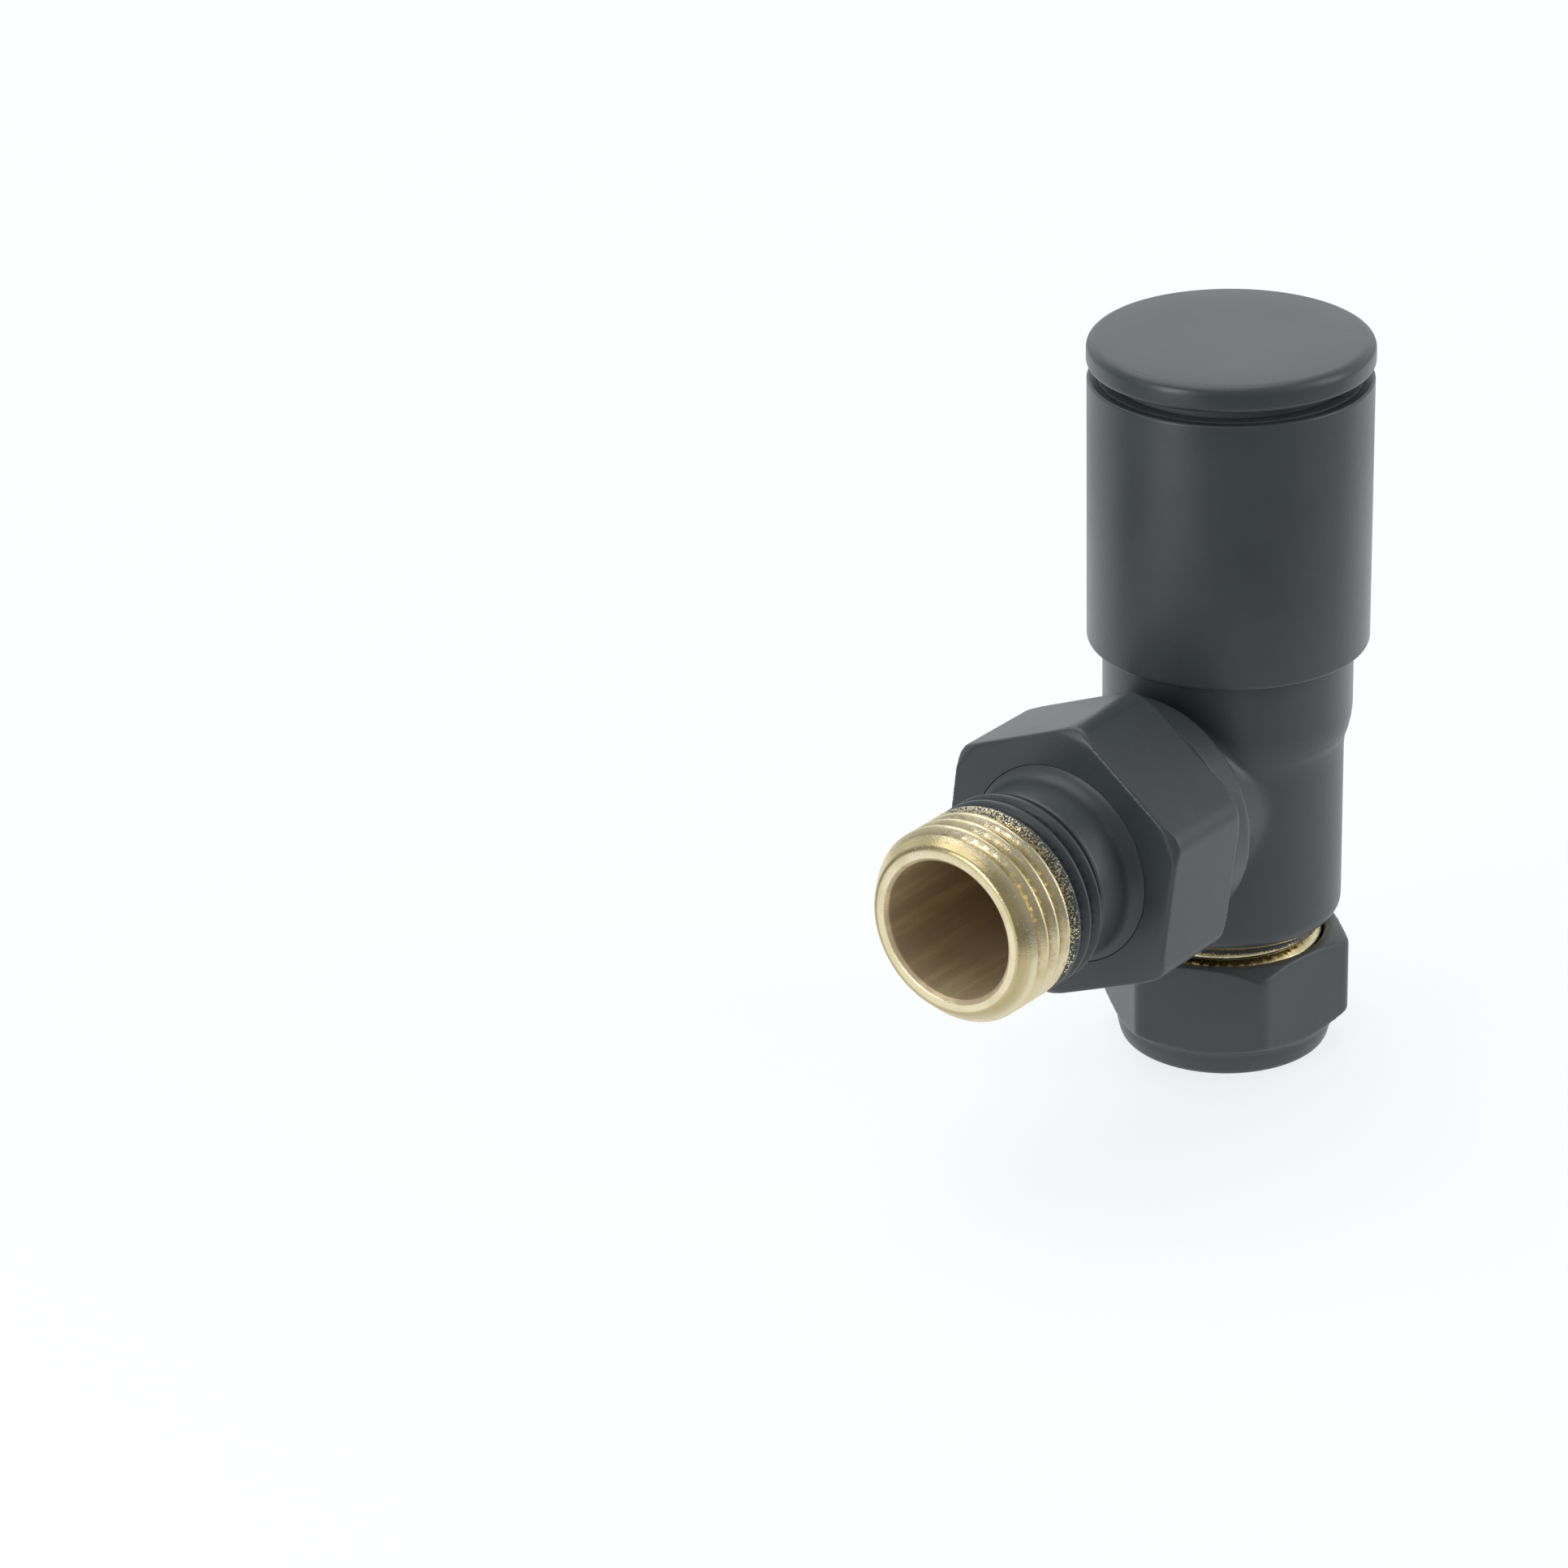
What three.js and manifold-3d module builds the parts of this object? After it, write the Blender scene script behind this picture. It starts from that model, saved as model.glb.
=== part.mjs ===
// Angled lockshield valve with a union tail, in millimetres, +Z up.
// The origin is on the valve's axis at the underside of the compression nut; the tail points along -Y.
import * as THREE from 'three';
import { mergeVertices } from 'three/addons/utils/BufferGeometryUtils.js';
import Module from 'manifold-3d';

const wasm = await Module();
wasm.setup();

// ---- Driving dimensions ----
const TOTAL_HEIGHT = 80.4;
const TAIL_REACH = 50; // valve axis to the tail's end face
const TAIL_HEIGHT = 32; // compression nut's underside to the tail's axis
const GAP = 0.3; // clearance between neighbouring pieces

const PIPE_RADIUS = 7.6; // socket for a 15 mm pipe
const TAIL_BORE = 7.5;
const PIPE_THREAD = 10.48; // crest radius of the half-inch thread
const LOWER_BARREL = 12.41;
const UPPER_BARREL = 13.27;
const BODY_BOTTOM = 6.2;
const SHOULDER_HEIGHT = 15;
const BODY_TOP = 50;
const CHAMBER_RADIUS = 9.6;
const SEAT_HEIGHT = 23.5;
const SEAT_BORE = 5.5;

const OUTLET_RADIUS = 10.1;
const OUTLET_RING = 12.9;
const OUTLET_RING_END = 17.9; // the thread for the union nut starts here
const OUTLET_THREAD = 12.6;
const OUTLET_FACE = 24.6; // valve axis to the face that the union seal rests on

// Hexagons: across flats, ends, turn of the first ridge in degrees, width of the flat along a ridge,
// and where it is not at the flats, the radius at which the chamfer starts.
const COMPRESSION_NUT = { flats: 24, bottom: 3, top: 13.2, turn: 21.6, ridge: 0.8 };
const COLLAR = { toe: 11.1, radius: 11.7, rise: 1.7 }; // round foot of the compression nut
const UNION_NUT = { flats: 28, bottom: 19, top: 30.7, turn: 22.4, ridge: 1.2, chamfer: 14.9, mouth: 11.2 };
const BONNET_HEX = { flats: 20, bottom: BODY_TOP + GAP, top: 55, turn: 0, ridge: 0.5 };
const GLAND_HEX = { flats: 14, bottom: 62.8, top: 65.8, turn: 0, ridge: 0.3 };
const CHAMFER_SLOPE = Math.tan(Math.PI / 6); // 30 degree chamfers at both ends of a hexagon
const CHAMFER_BITE = 0.1; // how far the chamfer reaches into the flats

const SPINDLE_THREAD = 4;
const SPINDLE_STEM = 3.4;
const SPINDLE_TOP = 70.2;
const KEY_SQUARE = 4.8;

const SLEEVE = { outer: 14.93, inner: 13.9, bottom: 46.8, top: 76.2 };
const CAP_RADIUS = 15;
const CAP_EDGE = 77.8; // lower edge of the top cap

// ---- Finishes ----
const finish = (color, roughness, metalness) =>
  new THREE.MeshStandardMaterial({ color, roughness, metalness });
const ANTHRACITE = finish(0x4a4f52, 0.45, 0.1);
const BRASS = finish(0xc9a25e, 0.35, 1);
const STEEL = finish(0x9a9c9e, 0.35, 1);
const RUBBER = finish(0x1c1c1d, 0.85, 0);
const FIBRE = finish(0x6e2f24, 0.9, 0);
const PLASTIC = finish(0x202224, 0.6, 0);

// ---- Shape helpers ----
const FINE = 36; // steps round an outer piece
const SMALL = 20; // steps round an inner piece
const CURVE_STEPS = 2; // steps in a rounded corner

// Corners are [radius, height] or [radius, height, rounding].
// The outline starts and ends on the axis, or closes on itself.
function outline(corners) {
  const path = new THREE.Path();
  corners.forEach(([r, z, rounding = 0], i) => {
    if (i === 0) {
      path.moveTo(r, z);
    } else if (rounding === 0) {
      path.lineTo(r, z);
    } else {
      const corner = new THREE.Vector2(r, z);
      const towards = (other) =>
        new THREE.Vector2(other[0], other[1]).sub(corner).setLength(rounding).add(corner);
      const start = towards(corners[i - 1]);
      const end = towards(corners[i + 1]);
      path.lineTo(start.x, start.y);
      path.quadraticCurveTo(r, z, end.x, end.y);
    }
  });
  return path.getPoints(CURVE_STEPS);
}

// Turns an outline about Z. The outline runs anticlockwise with the radius to the right and the height up.
function turned(corners, segments = FINE) {
  return new THREE.LatheGeometry(outline(corners), segments).rotateX(Math.PI / 2);
}

// A turned ring: the outline is closed by repeating its first corner.
function turnedRing(corners, segments = FINE) {
  return turned([...corners, corners[0]], segments);
}

function solid(geometry) {
  const bare = geometry.index ? geometry.toNonIndexed() : geometry.clone();
  bare.deleteAttribute('normal');
  bare.deleteAttribute('uv');
  const merged = mergeVertices(bare, 1e-3);
  const vertProperties = merged.attributes.position.array;
  const triVerts = new Uint32Array(merged.index.array);
  return new wasm.Manifold(new wasm.Mesh({ numProp: 3, vertProperties, triVerts }));
}

function geometryOf(shape) {
  const made = shape.getMesh();
  const geometry = new THREE.BufferGeometry();
  geometry.setAttribute('position', new THREE.BufferAttribute(made.vertProperties, made.numProp));
  geometry.setIndex(new THREE.BufferAttribute(made.triVerts, 1));
  const flat = geometry.toNonIndexed();
  flat.computeVertexNormals();
  return flat;
}

const join = (first, ...others) => others.reduce((whole, other) => whole.add(solid(other)), solid(first));
const cut = (shape, ...tools) => tools.reduce((rest, tool) => rest.subtract(solid(tool)), shape);

// A six-sided prism whose corners are bevelled by a 30 degree chamfer at both ends.
function hexagon({ flats, bottom, top, turn, ridge, chamfer = flats / 2 - CHAMFER_BITE }) {
  const corner = flats / Math.sqrt(3);
  const points = [];
  for (let side = 0; side < 6; side += 1) {
    const angle = THREE.MathUtils.degToRad(turn + side * 60);
    const point = new THREE.Vector2(Math.cos(angle), Math.sin(angle)).multiplyScalar(corner);
    const along = new THREE.Vector2(-Math.sin(angle), Math.cos(angle)).multiplyScalar(ridge / 2);
    const inset = point.clone().multiplyScalar(1 - ridge / 2 / Math.sqrt(3) / corner);
    points.push(inset.clone().sub(along), inset.clone().add(along));
  }
  const prism = new THREE.ExtrudeGeometry(new THREE.Shape(points), {
    depth: top - bottom,
    bevelEnabled: false,
  }).translate(0, 0, bottom);
  const reach = corner + 0.5;
  const drop = (reach - chamfer) * CHAMFER_SLOPE;
  const envelope = turned([[0, bottom], [chamfer, bottom], [reach, bottom + drop], [reach, top - drop],
    [chamfer, top], [0, top]]);
  return solid(prism).intersect(solid(envelope));
}

const oRing = (radius, thickness, height) =>
  new THREE.TorusGeometry(radius, thickness, 6, SMALL).translate(0, 0, height);

function piece(name, shape, material) {
  const geometry = shape.isBufferGeometry ? shape : geometryOf(shape);
  const mesh = new THREE.Mesh(geometry, material);
  mesh.name = name;
  return mesh;
}

// Moves a shape from the outlet's own frame, where Z runs out along the tail, into the valve's frame.
const alongTail = (geometry) => geometry.rotateX(Math.PI / 2).translate(0, 0, TAIL_HEIGHT);

// ---- Body: barrel, side outlet, waterway and seat ----
function valveBody() {
  const thread = PIPE_THREAD - GAP;
  const barrel = turned([
    [0, BODY_BOTTOM], [thread - 0.4, BODY_BOTTOM], [thread, BODY_BOTTOM + 0.4], [thread, SHOULDER_HEIGHT],
    [LOWER_BARREL, SHOULDER_HEIGHT, 1.9], [LOWER_BARREL, 36.1, 1.4], [UPPER_BARREL, 37.9, 1.4],
    [UPPER_BARREL, BODY_TOP, 0.5], [0, BODY_TOP],
  ]);
  const outlet = turned([
    [0, 0], [OUTLET_RADIUS, 0], [OUTLET_RADIUS, 14.2], [OUTLET_RING, 14.2, 0.5],
    [OUTLET_RING, OUTLET_RING_END, 0.4], [OUTLET_THREAD, OUTLET_RING_END],
    [OUTLET_THREAD, OUTLET_FACE - 0.6], [OUTLET_THREAD - 0.6, OUTLET_FACE], [0, OUTLET_FACE],
  ]);
  const waterway = turned([
    [0, BODY_BOTTOM - 1], [9.98, BODY_BOTTOM - 1], [PIPE_RADIUS, 10.2], [PIPE_RADIUS, 20.5],
    [SEAT_BORE, 20.5], [SEAT_BORE, SEAT_HEIGHT], [7, SEAT_HEIGHT], [7.3, 22.2], [CHAMBER_RADIUS, 22.2],
    [CHAMBER_RADIUS, 41.5], [10.5, 42.4], [10.5, 48.3], [11.9, 48.3], [11.9, BODY_TOP + 1],
    [0, BODY_TOP + 1],
  ]);
  const sidePort = turned([[0, 0], [TAIL_BORE, 0], [TAIL_BORE, OUTLET_FACE + 1], [0, OUTLET_FACE + 1]]);
  return cut(join(barrel, alongTail(outlet)), waterway, alongTail(sidePort));
}

// ---- Pipe end ----
function compressionNut() {
  const { top } = COMPRESSION_NUT;
  const foot = turned([
    [0, 0], [COLLAR.toe, 0, 0.4], [COLLAR.radius, COLLAR.rise, 0.4], [COLLAR.radius, 4], [0, 4],
  ]);
  const shape = hexagon(COMPRESSION_NUT).add(solid(foot));
  const bore = turned([
    [0, -1], [PIPE_RADIUS + 0.1, -1], [PIPE_RADIUS + 0.1, 2.6], [9.4, 4.4], [PIPE_THREAD, 4.4],
    [PIPE_THREAD, top - 0.6], [11.1, top + 0.1], [0, top + 0.1],
  ]);
  return cut(shape, bore);
}

const olive = () => turnedRing([[PIPE_RADIUS + 0.05, 3.2], [7.85, 3.2], [8.9, 4.5], [8.9, 6.4], [7.9, 8.9],
  [PIPE_RADIUS + 0.05, 8.9]], SMALL);

// ---- Union on the side outlet, in the outlet's own frame ----
function unionNut() {
  const { bottom, top, mouth } = UNION_NUT;
  const bore = turned([
    [0, bottom - 1], [14.2, bottom - 1], [OUTLET_THREAD + GAP, bottom + 0.9], [OUTLET_THREAD + GAP, 28.6],
    [mouth - 0.2, 28.6], [mouth - 0.2, top - 0.2], [mouth + 0.2, top + 0.2], [0, top + 0.2],
  ]);
  return cut(hexagon(UNION_NUT), bore);
}

const unionSeal = () => turnedRing([[8.2, 24.9], [11.4, 24.9], [11.4, 26.1], [8.2, 26.1]], SMALL);

// The threaded tail: collar inside the nut, slimmer neck, half-inch thread and rounded mouth.
const unionTail = () => turnedRing([
  [TAIL_BORE, 26.4], [11.6, 26.4], [11.6, 28.3], [10.7, 28.3], [10.7, 30.8], [9.6, 31.4, 0.6],
  [9.6, 36.1], [PIPE_THREAD, 36.6], [PIPE_THREAD, 48.3], [9.9, 49], [9.3, TAIL_REACH], [8, TAIL_REACH],
  [TAIL_BORE, TAIL_REACH - 0.5],
]);

// ---- Headwork ----
function bonnet() {
  const stem = turned([
    [0, 43], [9.8, 43], [10.2, 43.4], [10.2, 50.4], [8.8, 50.4], [8.4, 54.9], [8.4, 57], [7.4, 57],
    [7.4, 58.6], [8.4, 58.6], [8.4, 62], [7.9, 62.5], [0, 62.5],
  ], SMALL);
  const bore = turned([
    [0, 42], [6.2, 42], [6.2, 45.1], [SPINDLE_THREAD + GAP, 45.7], [SPINDLE_THREAD + GAP, 53.8],
    [SPINDLE_STEM + GAP, 53.8], [SPINDLE_STEM + GAP, 54.6], [5.7, 54.6], [5.7, 63], [0, 63],
  ], SMALL);
  return cut(hexagon(BONNET_HEX).add(solid(stem)), bore);
}

const glandWasher = () => turnedRing([[3.7, 54.9], [5.4, 54.9], [5.4, 55.7], [3.7, 55.7]], SMALL);

function glandNut() {
  const shoulder = GLAND_HEX.bottom + 0.1;
  const spigot = turned([[0, 60.2], [5.4, 60.2], [5.4, shoulder], [0, shoulder]], SMALL);
  const bore = turned([[0, 60], [3.7, 60], [3.7, 66], [0, 66]], SMALL);
  return cut(hexagon(GLAND_HEX).add(solid(spigot)), bore);
}

// Threaded spindle: foot held in the plug, threaded middle, plain stem and a square for the key.
function spindle() {
  const shaft = turned([
    [0, 36.3], [3.6, 36.3], [3.6, 37.8], [2.5, 37.8], [2.5, 43], [SPINDLE_THREAD - 0.4, 43.2],
    [SPINDLE_THREAD, 43.6], [SPINDLE_THREAD, 48.2], [SPINDLE_STEM, 48.8], [SPINDLE_STEM, 66.3], [0, 66.3],
  ], SMALL);
  const length = SPINDLE_TOP - 66;
  const key = new THREE.BoxGeometry(KEY_SQUARE, KEY_SQUARE, length).translate(0, 0, 66 + length / 2);
  return join(shaft, key);
}

// ---- Closing member ----
function valvePlug() {
  const shape = turned([
    [0, 25.6], [8.2, 25.6, 0.3], [8.2, 28.6, 0.8], [5.4, 29.4, 0.8], [5.4, 39.8], [0, 39.8],
  ], SMALL);
  const pocket = turned([
    [0, 36], [4, 36], [4, 37.9], [4.8, 37.9], [4.8, 39.1], [4, 39.1], [4, 40], [0, 40],
  ], SMALL);
  const screwHole = turned([[0, 25], [2.3, 25], [2.3, 32], [0, 33.3]], SMALL);
  return cut(solid(shape), pocket, screwHole);
}

// An open ring, so that it can be sprung into its groove.
function circlip() {
  const opening = new THREE.BoxGeometry(4, 2.4, 3).translate(4, 0, 38.5);
  return cut(solid(turnedRing([[2.8, 38.15], [4.5, 38.15], [4.5, 38.85], [2.8, 38.85]], SMALL)), opening);
}

const seatWasher = () => turnedRing([[2.6, 23.8], [7.6, 23.8], [7.6, 25.3], [2.6, 25.3]], SMALL);
const washerPlate = () => turnedRing([[2.3, 22.7], [4.9, 22.7], [4.9, 23.5], [2.3, 23.5]], SMALL);

function plugScrew() {
  const screw = turned([
    [0, 20.9], [3.6, 20.9], [4, 21.3], [4, 22.4], [2, 22.4], [2, 31.6], [0, 32.4],
  ], SMALL);
  const slot = new THREE.BoxGeometry(9, 1, 1.6).translate(0, 0, 20.9);
  return cut(solid(screw), slot);
}

// ---- Shield and top cap ----
const shieldInsert = () => turnedRing([
  [12, 50.8], [13.55, 50.8], [13.55, 73.3], [12.95, 73.3], [12.95, 74.7], [13.55, 74.7],
  [13.55, SLEEVE.top], [12.7, SLEEVE.top], [12.7, 68.4], [12, 66.9], [12, 58.7], [8.8, 58.7],
  [8.8, 56.9], [12, 56.9],
]);

const sleeveRing = () => turnedRing([[13.1, 73.6], [14.1, 73.6], [14.1, 74.4], [13.1, 74.4]]);

const shieldSleeve = () => turnedRing([
  [13.6, SLEEVE.bottom + 0.4], [14.3, SLEEVE.bottom], [SLEEVE.outer, SLEEVE.bottom, 0.5],
  [SLEEVE.outer, SLEEVE.top, 0.3], [SLEEVE.inner, SLEEVE.top], [SLEEVE.inner, 74.9], [14.3, 74.9],
  [14.3, 73.1], [SLEEVE.inner, 73.1], [SLEEVE.inner, 49], [13.6, 48.4],
]);

const topCap = () => turned([
  [0, CAP_EDGE + 0.9], [13.2, CAP_EDGE + 0.9], [13.2, CAP_EDGE], [CAP_RADIUS, CAP_EDGE, 0.3],
  [CAP_RADIUS, TOTAL_HEIGHT, 0.9], [0, TOTAL_HEIGHT],
]);

// The plug's skirt is hollow, so that the spindle's square can rise into it.
const capPlug = () => turned([
  [0, CAP_EDGE - 0.4], [10.9, CAP_EDGE - 0.4], [10.9, 70], [12.4, 70], [12.4, 71.6], [11.6, 71.6],
  [11.6, 73], [12.4, 73], [12.4, CAP_EDGE], [12.9, CAP_EDGE], [12.9, CAP_EDGE + 0.6], [0, CAP_EDGE + 0.6],
], SMALL);

// ---- Assembly ----
const valve = new THREE.Group();
valve.name = 'lockshield_valve';

valve.add(
  piece('valve_body', valveBody(), ANTHRACITE),
  piece('compression_nut', compressionNut(), ANTHRACITE),
  piece('olive', olive(), BRASS),
  piece('bonnet', bonnet(), BRASS),
  piece('bonnet_seal', oRing(11.15, 0.55, 49.1), RUBBER),
  piece('gland_washer', glandWasher(), BRASS),
  piece('packing_ring_lower', oRing(4.55, 0.9, 56.9), RUBBER),
  piece('packing_ring_upper', oRing(4.55, 0.9, 59), RUBBER),
  piece('gland_nut', glandNut(), BRASS),
  piece('spindle', spindle(), BRASS),
  piece('spindle_circlip', circlip(), STEEL),
  piece('valve_plug', valvePlug(), BRASS),
  piece('seat_washer', seatWasher(), RUBBER),
  piece('washer_plate', washerPlate(), BRASS),
  piece('plug_screw', plugScrew(), BRASS),
  piece('shield_grip_ring', oRing(8.05, 0.55, 57.8), RUBBER),
  piece('shield_insert', shieldInsert(), PLASTIC),
  piece('sleeve_ring', sleeveRing(), STEEL),
  piece('shield_sleeve', shieldSleeve(), ANTHRACITE),
  piece('top_cap', topCap(), ANTHRACITE),
  piece('cap_plug', capPlug(), PLASTIC),
  piece('cap_ring', oRing(12.12, 0.45, 72.3), RUBBER),
);

const union = new THREE.Group();
union.position.z = TAIL_HEIGHT;
union.rotation.x = Math.PI / 2;
union.add(
  piece('union_nut', unionNut(), ANTHRACITE),
  piece('union_seal', unionSeal(), FIBRE),
  piece('union_tail', unionTail(), BRASS),
);
valve.add(union);

export default valve;
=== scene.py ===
import math

import bpy
from mathutils import Matrix, Vector


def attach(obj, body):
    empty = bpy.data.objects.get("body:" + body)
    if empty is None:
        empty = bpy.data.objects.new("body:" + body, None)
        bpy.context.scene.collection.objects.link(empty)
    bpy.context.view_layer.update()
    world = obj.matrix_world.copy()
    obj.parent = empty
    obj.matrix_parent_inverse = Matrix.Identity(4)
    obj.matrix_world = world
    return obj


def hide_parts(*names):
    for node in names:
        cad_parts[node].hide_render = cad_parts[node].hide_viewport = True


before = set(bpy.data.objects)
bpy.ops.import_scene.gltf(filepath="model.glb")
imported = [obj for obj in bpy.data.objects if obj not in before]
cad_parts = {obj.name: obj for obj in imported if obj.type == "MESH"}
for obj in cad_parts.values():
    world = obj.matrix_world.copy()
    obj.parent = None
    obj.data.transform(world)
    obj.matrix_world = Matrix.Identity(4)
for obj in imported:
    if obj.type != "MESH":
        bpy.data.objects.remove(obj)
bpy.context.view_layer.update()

# ---- Sizes, in millimetres: pieces are modelled in millimetres and brought down to metres when finished ----
MM = 0.001
FULL_TURN = 2 * math.pi
FINE = 144  # steps round a piece that is seen from close by
PLAIN = 72  # steps round the small inner pieces
WIRE_SIDES = 12  # sides of an O-ring's section
ARC_STEP = math.radians(13)

TAIL_HEIGHT = 32.0
BARREL_RADIUS, BOSS_RADIUS = 12.41, 10.1  # the lower barrel, and the side outlet where it leaves the barrel
PITCH = 1.814  # half-inch thread
FLANK = math.radians(27.5)
ROOT_SHARE = 0.46  # half of a ridge's foot, as a share of the pitch
THREAD_STEPS = 96
PIPE_CREST, PIPE_ROOT = 10.48, 9.34
OUTLET_CREST, OUTLET_ROOT = 12.6, 11.5
ENVELOPE_SPARE = 0.2  # an envelope clears the crests by this much, so that no two faces coincide
HEX_CHAMFER_BITE = 0.1  # how far a plain chamfer cuts into the flats
CHAMFER_ANGLE = math.radians(30)
EDGE_ANGLE = math.radians(60)
MERGE = 0.0005
VOXEL = 0.3  # remesh step of the body


# ---- Modelling helpers ----
def only(obj):
    """Leave one object selected and active."""
    bpy.ops.object.select_all(action="DESELECT")
    obj.select_set(True)
    bpy.context.view_layer.objects.active = obj
    return obj


def editing(obj):
    """Open a mesh for editing, with all its points selected."""
    only(obj)
    bpy.ops.object.mode_set(mode="EDIT")
    bpy.ops.mesh.select_mode(type="VERT")
    bpy.ops.mesh.select_all(action="SELECT")


def done_editing():
    """Close the mesh again."""
    bpy.ops.object.mode_set(mode="OBJECT")


def settle(obj):
    """Work the object's move, turn and scale into its mesh."""
    only(obj)
    bpy.ops.object.transform_apply(location=True, rotation=True, scale=True)
    return obj


def apply_modifier(obj, kind, **settings):
    """Add a modifier with the given settings and apply it at once."""
    only(obj)
    modifier = obj.modifiers.new(kind.lower(), kind)
    for name, value in settings.items():
        setattr(modifier, name, value)
    bpy.ops.object.modifier_apply(modifier=modifier.name)
    return obj


def softened(corners, closed):
    """Outline points of (radius, height) corners. A third number rounds its corner, from that far off."""
    points = []
    count = len(corners)
    for i, (r, z, *soft) in enumerate(corners):
        if not soft or (not closed and i in (0, count - 1)):
            points.append(Vector((r, z)))
            continue
        corner = Vector((r, z))
        before = (Vector(corners[i - 1][:2]) - corner).normalized()
        after = (Vector(corners[(i + 1) % count][:2]) - corner).normalized()
        half = before.angle(after) / 2
        middle = corner + (before + after).normalized() * (soft[0] / math.cos(half))
        start = corner + before * soft[0] - middle
        end = corner + after * soft[0] - middle
        sweep = start.angle(end)
        steps = max(2, math.ceil(sweep / ARC_STEP))
        for step in range(steps + 1):
            t = step / steps
            a = math.sin((1 - t) * sweep) / math.sin(sweep)
            b = math.sin(t * sweep) / math.sin(sweep)
            points.append(middle + start * a + end * b)
    return points


def traced(points, closed):
    """A wire that follows the points, in the plane of X and Z."""
    bpy.ops.object.select_all(action="DESELECT")
    bpy.ops.mesh.primitive_plane_add(size=1)
    obj = bpy.context.object
    editing(obj)
    bpy.ops.mesh.merge(type="CENTER")
    bpy.ops.transform.translate(value=(points[0].x, 0, points[0].y))
    route = points[1:] + (points[:1] if closed else [])
    here = points[0]
    for point in route:
        bpy.ops.mesh.extrude_vertices_move(
            TRANSFORM_OT_translate={"value": (point.x - here.x, 0, point.y - here.y)}
        )
        here = point
    bpy.ops.mesh.select_all(action="SELECT")
    return obj


def turned(corners, steps=FINE):
    """A closed shape turned about Z. An outline that doesn't start on the axis is closed on itself."""
    closed = corners[0][0] > 0
    obj = traced(softened(corners, closed), closed)
    bpy.ops.mesh.spin(steps=steps, angle=FULL_TURN, center=(0, 0, 0), axis=(0, 0, 1))
    bpy.ops.mesh.select_all(action="SELECT")
    bpy.ops.mesh.remove_doubles(threshold=MERGE)
    bpy.ops.mesh.normals_make_consistent(inside=False)
    done_editing()
    return obj


def block(sides, middle, turn=0.0):
    """A box with its middle at a place, turned about its upright by an angle in degrees."""
    bpy.ops.object.select_all(action="DESELECT")
    bpy.ops.mesh.primitive_cube_add(size=1, location=middle, scale=sides)
    obj = bpy.context.object
    obj.rotation_euler.z = math.radians(turn)
    return settle(obj)


def combine(obj, tool, operation="DIFFERENCE"):
    """Cut the tool from the object, or join or keep what they share. The tool is used up."""
    apply_modifier(obj, "BOOLEAN", object=tool, operation=operation, solver="EXACT")
    bpy.data.objects.remove(tool)
    return obj


def ridge(root, crest, low, turns):
    """A thread's ridge: its section wound round Z, closed at both ends."""
    foot = PITCH * ROOT_SHARE
    tip = foot - (crest - root) * math.tan(FLANK)
    section = [(root - 0.3, -foot), (root, -foot), (crest - 0.1, -tip - 0.03), (crest, -tip * 0.5),
               (crest, tip * 0.5), (crest - 0.1, tip + 0.03), (root, foot), (root - 0.3, foot)]
    obj = traced([Vector((r, low + z)) for r, z in section], True)
    bpy.ops.mesh.remove_doubles(threshold=MERGE)
    done_editing()
    apply_modifier(obj, "SCREW", axis="Z", angle=FULL_TURN, screw_offset=PITCH, iterations=turns,
                   steps=THREAD_STEPS, render_steps=THREAD_STEPS, use_merge_vertices=False)
    editing(obj)
    bpy.ops.mesh.remove_doubles(threshold=MERGE)
    bpy.ops.mesh.select_all(action="SELECT")
    bpy.ops.mesh.fill_holes(sides=0)
    bpy.ops.mesh.select_all(action="SELECT")
    bpy.ops.mesh.normals_make_consistent(inside=False)
    done_editing()
    return obj


def hexagon(flats, bottom, top, ridge=0.0, chamfer=None):
    """A six-sided prism with a chamfer at both ends. ridge rounds its upright edges."""
    corner = flats / math.sqrt(3)
    bpy.ops.object.select_all(action="DESELECT")
    bpy.ops.mesh.primitive_cylinder_add(vertices=6, radius=corner, depth=top - bottom,
                                        location=(0, 0, (top + bottom) / 2))
    prism = bpy.context.object
    prism.rotation_euler.z = math.radians(30)
    settle(prism)
    if ridge:
        editing(prism)
        bpy.ops.mesh.select_mode(type="EDGE")
        bpy.ops.mesh.select_all(action="DESELECT")
        done_editing()
        for edge in prism.data.edges:
            first, second = (prism.data.vertices[i].co.z for i in edge.vertices)
            edge.select = abs(first - second) > 1
        bpy.ops.object.mode_set(mode="EDIT")
        bpy.ops.mesh.bevel(offset=ridge, segments=6, affect="EDGES")
        done_editing()
    face = chamfer or flats / 2 - HEX_CHAMFER_BITE
    reach = corner + 0.5
    drop = (reach - face) * math.tan(CHAMFER_ANGLE)
    envelope = turned([(0, bottom), (face, bottom), (reach, bottom + drop), (reach, top - drop),
                       (face, top), (0, top)])
    return combine(prism, envelope, "INTERSECT")


def cast_skin(obj, turn, voxel, passes):
    """Give a nut the evenly rounded edges of a thick coat, then turn it to its angle."""
    apply_modifier(obj, "REMESH", mode="VOXEL", voxel_size=voxel, use_smooth_shade=True)
    apply_modifier(obj, "SMOOTH", factor=0.5, iterations=passes)
    obj.rotation_euler.z = math.radians(turn)
    return settle(obj)


def soft_edges(obj, width):
    """Round the sharp edges of a block."""
    return apply_modifier(obj, "BEVEL", width=width, segments=2, limit_method="ANGLE",
                          angle_limit=EDGE_ANGLE, use_clamp_overlap=True, harden_normals=False)


def smooth(obj, angle=32):
    """Shade the surface smooth, up to edges sharper than an angle in degrees."""
    only(obj)
    bpy.ops.object.shade_smooth_by_angle(angle=math.radians(angle))
    return obj


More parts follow.
